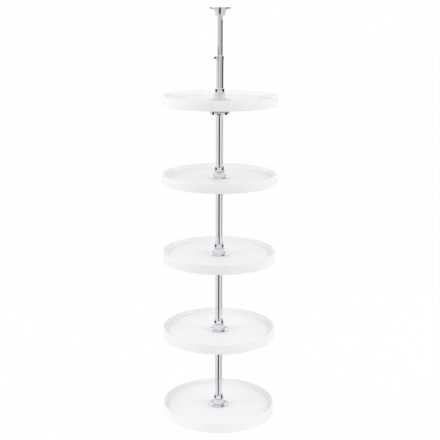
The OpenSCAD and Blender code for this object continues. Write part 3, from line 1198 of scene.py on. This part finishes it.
@dataclass
class Clamp:
    """The ferrule round the top of the lower tube and the thumb screw that goes through it."""

    bore_radius: float = 14.45 * MM
    cap_bore: float = 11.4 * MM
    cap_t: float = 4.0 * MM
    chamfer: float = 2.0 * MM
    shank_radius: float = 2.5 * MM
    head_length: float = 6.4 * MM
    head_radius: float = 3.8 * MM
    head_chamfer: float = 0.5 * MM
    washer_radius: float = 4.0 * MM
    washer_t: float = 0.9 * MM
    knurl_depth: float = 0.3 * MM
    knurl_count: int = 24
    knurl_pitch: float = 3.2 * MM
    knurl_winds: int = 3
    knurl_low: float = 0.6 * MM
    knurl_high: float = 0.8 * MM
    end_inset: float = 1.4 * MM
    end_t: float = 0.3 * MM
    thread_pitch: float = 0.8 * MM
    thread_depth: float = 0.3 * MM
    tip_bore: float = 1.15 * MM
    tip_bore_depth: float = 2.6 * MM

    def place(self) -> Matrix:
        """Turns +Z out of the post along the thumb screw."""
        low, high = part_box("thumb_screw")
        return radial_matrix(math.pi, (low.z + high.z) / 2)

    def hole(self) -> Surface:
        """What the thumb screw's hole takes out of the ferrule and the tube."""
        inside, outside = 10 * MM, 20 * MM
        radii = np.full((2, 48), self.shank_radius + CLEARANCE)
        wall = ring_points(radii, np.array([inside, outside]))
        return lofted(wall).moved(self.place())

    def ferrule(self, finishes: Finishes) -> None:
        """Makes the ferrule, with the thumb screw's hole in its left side.

        Args:
            finishes: Every finish.
        """
        low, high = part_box("clamp_ferrule")
        out, edge = high.x, 0.2 * MM
        section = path(
            [self.bore_radius, low.z], [out - edge, low.z], [out, low.z + edge],
            [out, high.z - self.chamfer - edge], [out - edge, high.z - self.chamfer + edge],
            [out - self.chamfer, high.z], [self.cap_bore, high.z],
            [self.cap_bore, high.z - self.cap_t], [self.bore_radius, high.z - self.cap_t],
        )
        seat = Seat("post", "chrome_ferrule", ("clamp_ferrule",))
        ring = turned(section, 128)
        add_piece("clamp_ferrule_ring", ring, finishes.collar, seat, [self.hole()], 20)
        low_z, inner, rim = out + CLEARANCE, self.shank_radius + CLEARANCE, self.washer_radius
        high_z = low_z + self.washer_t
        washer = turned(path(
            [inner, low_z], [rim - edge, low_z], [rim, low_z + edge],
            [rim, high_z - edge], [rim - edge, high_z], [inner, high_z],
        ), 64)
        seat = Seat("post", "thumb_screw_steel")
        add_piece("thumb_screw_washer", washer.moved(self.place()), finishes.black, seat, sharp=30)

    def thumb_screw(self, finishes: Finishes) -> None:
        """Makes the thumb screw.

        Its head's radius is the outer radius less a diamond pattern: the depth
        times one less the smaller of two waves that wind up it in opposite ways.

        Args:
            finishes: Every finish.
        """
        low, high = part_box("thumb_screw")
        start, end = -high.x, -low.x
        radius, head, under = self.head_radius, end - self.head_length, 0.4 * MM
        points, rows = self.knurl_count * 6, 16
        t = np.linspace(0, TURN, points, endpoint=False)[None, :]
        z = np.linspace(head + self.knurl_low, end - self.knurl_high, rows)
        lead = self.knurl_winds * TURN * (z[:, None] - head) / self.knurl_pitch
        waves = [np.abs(np.sin((self.knurl_count * t + sign * lead) / 2)) for sign in (-1, 1)]
        knurled = radius - self.knurl_depth * (1 - np.minimum(*waves))
        shank = Screws(points, self.thread_pitch, self.thread_depth)
        thread_radii, thread_heights = shank.thread(self.shank_radius, start, head - under)
        full = np.ones(points)
        bore, neck = full * self.tip_bore, full * self.shank_radius
        rim = full * (radius - self.head_chamfer)
        end_ring = full * (radius - self.end_inset)
        radii = [bore, bore, *thread_radii, neck, rim, *knurled, rim, end_ring]
        heights = [start + self.tip_bore_depth, start, *thread_heights, head, head, *z]
        heights += [end - self.end_t, end]
        screw = lofted(ring_points(np.array(radii), np.array(heights)))
        seat = Seat("thumb_screw", "thumb_screw_steel", ("thumb_screw",))
        add_piece("thumb_screw_knurled", screw.moved(self.place()), finishes.nickel, seat)

    def build(self, finishes: Finishes) -> None:
        """Makes the ferrule and the thumb screw, and dresses what they hold.

        Args:
            finishes: Every finish.
        """
        self.ferrule(finishes)
        self.thumb_screw(finishes)
        for node in ("guide_bush", "thumb_screw_tip", "tube_glide"):
            dress_node(node, finishes.acetal)


@dataclass
class Post:
    """The telescopic post between its two brackets."""

    def build(self, finishes: Finishes) -> None:
        """Makes the tubes, the brackets and the clamp.

        Args:
            finishes: Every finish.
        """
        clamp = Clamp()
        Tube("lower_tube", "post", wall=1.6 * MM).build(finishes, [clamp.hole()])
        Tube("upper_tube", "upper_post", wall=1.4 * MM).build(finishes)
        Bracket(
            "floor_bracket",
            "post",
            tube_radius=14.3 * MM,
            screw_length=6 * MM,
            from_ceiling=False,
        ).build(finishes)
        Bracket(
            "ceiling_bracket",
            "upper_post",
            tube_radius=11.1 * MM,
            screw_length=8 * MM,
            from_ceiling=True,
        ).build(finishes)
        clamp.build(finishes)


# ---------------------------------------------------------------- studio


@dataclass
class Camera:
    """The photograph's camera, fitted to the tray rims in a frame of 440 pixels."""

    distance: float = 3.692
    height: float = 1.7667
    pitch: float = math.radians(10.468)
    roll: float = math.radians(0.237)
    focal_px: float = 941.74
    centre_px: tuple[float, float] = (219.4, 170.0)
    frame_px: float = 440.0
    sensor_mm: float = 36.0

    def build(self) -> None:
        """Makes the camera and sets it as the scene's."""
        data = bpy.data.cameras.new("camera")
        data.sensor_width = self.sensor_mm
        data.lens = self.focal_px / self.frame_px * self.sensor_mm
        data.shift_x = 0.5 - self.centre_px[0] / self.frame_px
        data.shift_y = self.centre_px[1] / self.frame_px - 0.5
        data.dof.use_dof = False
        camera = bpy.data.objects.new("camera", data)
        bpy.context.scene.collection.objects.link(camera)
        look = Matrix.Rotation(QUARTER - self.pitch, 4, "X") @ Matrix.Rotation(self.roll, 4, "Z")
        camera.matrix_world = Matrix.Translation((0, -self.distance, self.height)) @ look
        bpy.context.scene.camera = camera


@dataclass
class Studio:
    """A white cove with soft lights at its sides, and the gaps and cards that chrome mirrors."""

    horizon: float = 1.19
    zenith: float = 0.71
    floor_albedo: float = 0.59
    floor_glow: float = 0.95
    floor_white: float = 1.02
    floor_size: float = 60.0
    aim: float = 0.75

    def seen_directly(self, s: Shader) -> Socket:
        """Tells what is looked at from what only lights.

        Args:
            s: The nodes to add to.

        Returns:
            1 where the camera, a mirror or glass looks, and 0 for light that falls on things.
        """
        rays = s.add("ShaderNodeLightPath")
        total = rays.outputs["Is Camera Ray"]
        for name in ("Is Glossy Ray", "Is Transmission Ray"):
            larger = s.add("ShaderNodeMath", operation="MAXIMUM")
            s.wire(total, larger.inputs[0])
            s.wire(rays.outputs[name], larger.inputs[1])
            total = larger.outputs[0]
        return total

    def sky(self, s: Shader) -> Socket:
        """Strength of the sky: horizon + (zenith - horizon) times the sine of the height.

        Args:
            s: The nodes to add to.

        Returns:
            The strength.
        """
        where, split = s.add("ShaderNodeTexCoord"), s.add("ShaderNodeSeparateXYZ")
        s.wire(where.outputs["Generated"], split.inputs[0])
        return s.spread(split.outputs["Z"], self.horizon, self.zenith, 0.0, 1.0)

    def world(self) -> None:
        """A world that looks white and lights the unit a little less than white."""
        world = bpy.data.worlds.new("white_cove")
        bpy.context.scene.world = world
        s = Shader(world, bare=True)
        light, seen = s.add("ShaderNodeBackground"), s.add("ShaderNodeBackground")
        light.inputs["Color"].default_value = (0.99, 0.99, 1.0, 1.0)
        s.wire(self.sky(s), light.inputs["Strength"])
        seen.inputs["Color"].default_value = (1.0, 1.0, 1.0, 1.0)
        seen.inputs["Strength"].default_value = 1.0
        s.mixed_output("ShaderNodeOutputWorld", self.seen_directly(s), light, seen)

    def floor(self) -> None:
        """A wide pale floor that looks almost white and keeps a faint shadow."""
        s = Shader(bpy.data.materials.new("pale_floor"), bare=True)
        matt, glow = s.add("ShaderNodeBsdfDiffuse"), s.add("ShaderNodeEmission")
        matt.inputs["Color"].default_value = (*(self.floor_albedo,) * 3, 1.0)
        glow.inputs["Color"].default_value = (1.0, 1.0, 1.0, 1.0)
        glow.inputs["Strength"].default_value = self.floor_white
        share = s.add("ShaderNodeMath", operation="MULTIPLY")
        share.inputs[1].default_value = self.floor_glow
        s.wire(self.seen_directly(s), share.inputs[0])
        s.mixed_output("ShaderNodeOutputMaterial", share.outputs[0], matt, glow)
        half = self.floor_size / 2
        corners = np.array([[-half, -half, 0], [half, -half, 0], [half, half, 0], [-half, half, 0]])
        self.stage_object("floor", Surface(corners, [[0, 1, 2, 3]]), s.owner)

    def stage_object(
        self, name: str, surface: Surface, material: bpy.types.Material
    ) -> bpy.types.Object:
        """Puts something in the studio that isn't part of the unit.

        Args:
            name: Its name.
            surface: Its shape, in place.
            material: Its look.

        Returns:
            The new object.
        """
        mesh = as_mesh(name, surface)
        mesh.materials.append(material)
        thing = bpy.data.objects.new(name, mesh)
        bpy.context.scene.collection.objects.link(thing)
        return thing

    def mirrored(
        self, name: str, surface: Surface, stops: Sequence[tuple[float, float]], body: str = "",
    ) -> None:
        """Part of the cove that only gloss sees: its glow depends on the direction round the post.

        Args:
            name: The name of the surface and of its material.
            surface: Its shape.
            stops: Directions in degrees from the front, positive to the right, with the glow there.
            body: The body that it goes along with, if any.
        """
        s = Shader(bpy.data.materials.new(name), bare=True)
        where, split = s.add("ShaderNodeTexCoord"), s.add("ShaderNodeSeparateXYZ")
        angle = s.add("ShaderNodeMath", operation="ARCTAN2")
        ahead = s.add("ShaderNodeMath", operation="MULTIPLY")
        ahead.inputs[1].default_value = -1.0
        s.wire(where.outputs["Object"], split.inputs[0])
        s.wire(split.outputs["X"], angle.inputs[0])
        s.wire(split.outputs["Y"], ahead.inputs[0])
        s.wire(ahead.outputs[0], angle.inputs[1])
        share = s.spread(angle.outputs[0], 0.0, 1.0, -math.pi, math.pi)
        ramp = s.add("ShaderNodeValToRGB")
        elements = ramp.color_ramp.elements
        while len(elements) < len(stops):
            elements.new(0.5)
        for element, (degrees, glow) in zip(elements, stops):
            element.position = 0.5 + degrees / 360
            element.color = (glow, glow, glow, 1.0)
        s.wire(share, ramp.inputs["Fac"])
        light, out = s.add("ShaderNodeEmission"), s.add("ShaderNodeOutputMaterial")
        s.wire(ramp.outputs["Color"], light.inputs["Color"])
        s.wire(light.outputs[0], out.inputs["Surface"])
        wall = self.stage_object(name, surface, s.owner)
        wall.visible_camera = wall.visible_diffuse = wall.visible_shadow = False
        wall.visible_transmission = False
        if body:
            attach(wall, body)

    def cove_band(self, start: float, end: float, rows: Sequence[tuple[float, float]]) -> Surface:
        """A band round the post from one direction to another.

        Args:
            start: First direction in degrees from the front, positive to the right.
            end: Last direction.
            rows: Distance from the post and height of each row of points.

        Returns:
            The band: row (r, z) at direction a has the points (r sin a, -r cos a, z).
        """
        points = 73
        a = np.radians(np.linspace(start, end, points))[None, :]
        r, z = (np.array(rows)[:, k][:, None] for k in (0, 1))
        grid = np.stack([r * np.sin(a), -r * np.cos(a), z + 0 * a], -1)
        return Surface(grid.reshape(-1, 3), grid_faces(len(rows), points, False, False))

    def mirrored_cove(self) -> None:
        """What the chrome mirrors: a dark gap in front and behind, and a dark end at the right.

        Four bands lie one above the other, because what each stretch of the
        post mirrors lies as high as the stretch does: the lower tube under the
        top tray, the lower tube over it, the clamp with the foot of the upper
        tube, and the rest of the upper tube.
        """
        near, far, lift, top = 0.26, 3.0, 2 * MM, 2.6
        low, middle, upper = 0.985, 1.32, 1.42
        low_stops = [
            (-180, 0.06), (-166, 0.06), (-158, 0.85), (-60, 0.88), (-31, 0.85), (-24, 0.06),
            (14, 0.06), (20, 0.98), (58, 0.96), (76, 0.42), (102, 0.46), (120, 0.95),
            (158, 0.85), (166, 0.06), (180, 0.06),
        ]
        middle_stops = [
            (-180, 0.75), (-116, 0.9), (-89, 0.92), (-60, 0.84), (-43, 0.46), (-23, 0.6),
            (-8, 0.84), (8, 0.72), (23, 0.5), (41, 0.58), (62, 0.66), (73, 0.04),
            (105, 0.04), (116, 0.2), (180, 0.75),
        ]
        upper_stops = [
            (-180, 1.0), (-116, 0.93), (-86, 0.86), (-64, 0.26), (-46, 0.26), (-28, 0.56),
            (-8, 0.7), (23, 0.64), (45, 0.5), (64, 0.36), (72, 0.1), (104, 0.12),
            (118, 0.22), (150, 0.45), (180, 0.9),
        ]
        high_stops = [
            (-125, 1.0), (-89, 0.88), (-60, 0.76), (-23, 0.63), (28, 0.6), (45, 0.5),
            (64, 0.42), (72, 0.1), (104, 0.14), (118, 0.2), (150, 0.32), (165, 1.0),
        ]
        for name, start, end, rows, stops in (
            ("mirror_low", -180, 180, [(near, lift), (far, lift), (far, low)], low_stops),
            ("mirror_middle", -180, 180, [(far, low), (far, middle)], middle_stops),
            ("mirror_upper", -180, 180, [(far, middle), (far, upper)], upper_stops),
            ("mirror_high", -125, 165, [(far, upper), (far, top)], high_stops),
        ):
            self.mirrored(name, self.cove_band(start, end, rows), stops)

    def card(self, name: str, surface: Surface, glow: float, body: str) -> None:
        """An even card that only gloss sees.

        Args:
            name: Its name.
            surface: Its shape, in place.
            glow: Its glow.
            body: The body that it goes along with.
        """
        self.mirrored(name, surface, [(-180, glow), (180, glow)], body)

    def line_cards(self) -> None:
        """Narrow dark cards close in front of the lower tube, one above each low tray.

        There the tube mirrors the tray's floor. The cards carry the dark line
        in the tube down to the keeper collar.
        """
        ahead, half, height, glow = 20 * MM, 4.15 * MM, 62 * MM, 0.06
        shifts = (-1.6 * MM, -1.6 * MM, 0.0, 0.0)
        for level, x in enumerate(shifts, 1):
            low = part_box(f"keeper_collar_{level}")[1].z
            left, right, high = x - half, x + half, low + height
            edges = [[left, low], [right, low], [right, high], [left, high]]
            card = Surface(np.insert(np.array(edges), 1, -ahead, axis=1), [[0, 1, 2, 3]])
            self.card(f"dark_card_{level}", card, glow, f"carrier_{level}")

    def bracket_cards(self) -> None:
        """Two dark cards for the ends of the ceiling bracket's flange, a bright one for its cup."""
        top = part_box("ceiling_bracket")[1].z
        near, far, drop, cup, mouth = 44 * MM, 52 * MM, 10 * MM, 12 * MM, 48 * MM
        for name, start, end, glow in (("left", -88, -68, 0.0), ("right", 86, 104, 0.05)):
            rows = [(near, top - drop), (far, top - drop), (far, top + drop)]
            self.card(f"dark_card_{name}", self.cove_band(start, end, rows), glow, "upper_post")
        bright = self.cove_band(55, 125, [(far, top - mouth), (far, top - cup)])
        self.card("bright_card_top", bright, 0.75, "upper_post")

    def hub_card(self) -> None:
        """A bright band round the top hub, which would mirror the dark end of the cove."""
        low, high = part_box(f"hub_{LEVELS}")
        away, flange = high.x + 18 * MM, 17 * MM
        band = self.cove_band(-150, 150, [(away, low.z + flange), (away, high.z)])
        stops = [(-180, 0.9), (-60, 0.84), (0, 0.74), (60, 0.84), (180, 0.9)]
        self.mirrored("bright_card_hub", band, stops, f"carrier_{LEVELS}")

    def lamp(self, data: bpy.types.AreaLight, power: float, place: Matrix) -> bpy.types.Object:
        """Puts up a soft light that chrome doesn't mirror.

        Args:
            data: The light, with its shape and size.
            power: Its power in watts.
            place: Turns -Z to where it shines.

        Returns:
            The new object.
        """
        data.energy = power
        lamp = bpy.data.objects.new(data.name, data)
        lamp.matrix_world = place
        lamp.visible_glossy = False
        bpy.context.scene.collection.objects.link(lamp)
        return lamp

    def softbox(self, name: str, place: Sequence[float], power: float) -> None:
        """A soft light that is aimed at the middle of the unit.

        Args:
            name: The light's name.
            place: Where its middle is.
            power: Its power in watts.
        """
        data = bpy.data.lights.new(name, "AREA")
        data.shape, data.size, data.size_y = "RECTANGLE", 1.0, 0.8
        look = (Vector((0, 0, self.aim)) - Vector(place)).to_track_quat("-Z", "Y")
        self.lamp(data, power, Matrix.Translation(place) @ look.to_matrix().to_4x4())

    def light_table(self) -> None:
        """A faint round glow of the floor under the unit, which lights the low trays from below."""
        data = bpy.data.lights.new("light_table", "AREA")
        data.shape, data.size = "DISK", 2.2
        place = Matrix.Translation((0, 0, 2 * MM)) @ Matrix.Rotation(math.pi, 4, "X")
        lamp = self.lamp(data, 4.4, place)
        lamp.visible_camera = lamp.visible_transmission = False

    def build(self) -> None:
        """Makes the world, the floor, what the chrome mirrors and the lights."""
        self.world()
        self.floor()
        self.mirrored_cove()
        self.line_cards()
        self.bracket_cards()
        self.hub_card()
        self.softbox("softbox_left", (-2.3, -0.7, 2.2), 14.7)
        self.softbox("softbox_right", (2.3, -0.7, 2.2), 14.7)
        self.softbox("softbox_back_left", (-2.0, 1.6, 1.3), 4.6)
        self.softbox("softbox_back_right", (2.0, 1.6, 1.3), 6.0)
        self.light_table()
        bpy.context.scene.view_settings.view_transform = "Standard"


def main() -> None:
    """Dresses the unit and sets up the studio."""
    logging.basicConfig(level=logging.INFO, format="%(name)s %(message)s")
    finishes = Finishes.made()
    for number in range(1, LEVELS + 1):
        Level(number).build(finishes)
    Post().build(finishes)
    Studio().build()
    Camera().build()


if __name__ == "__main__":
    main()
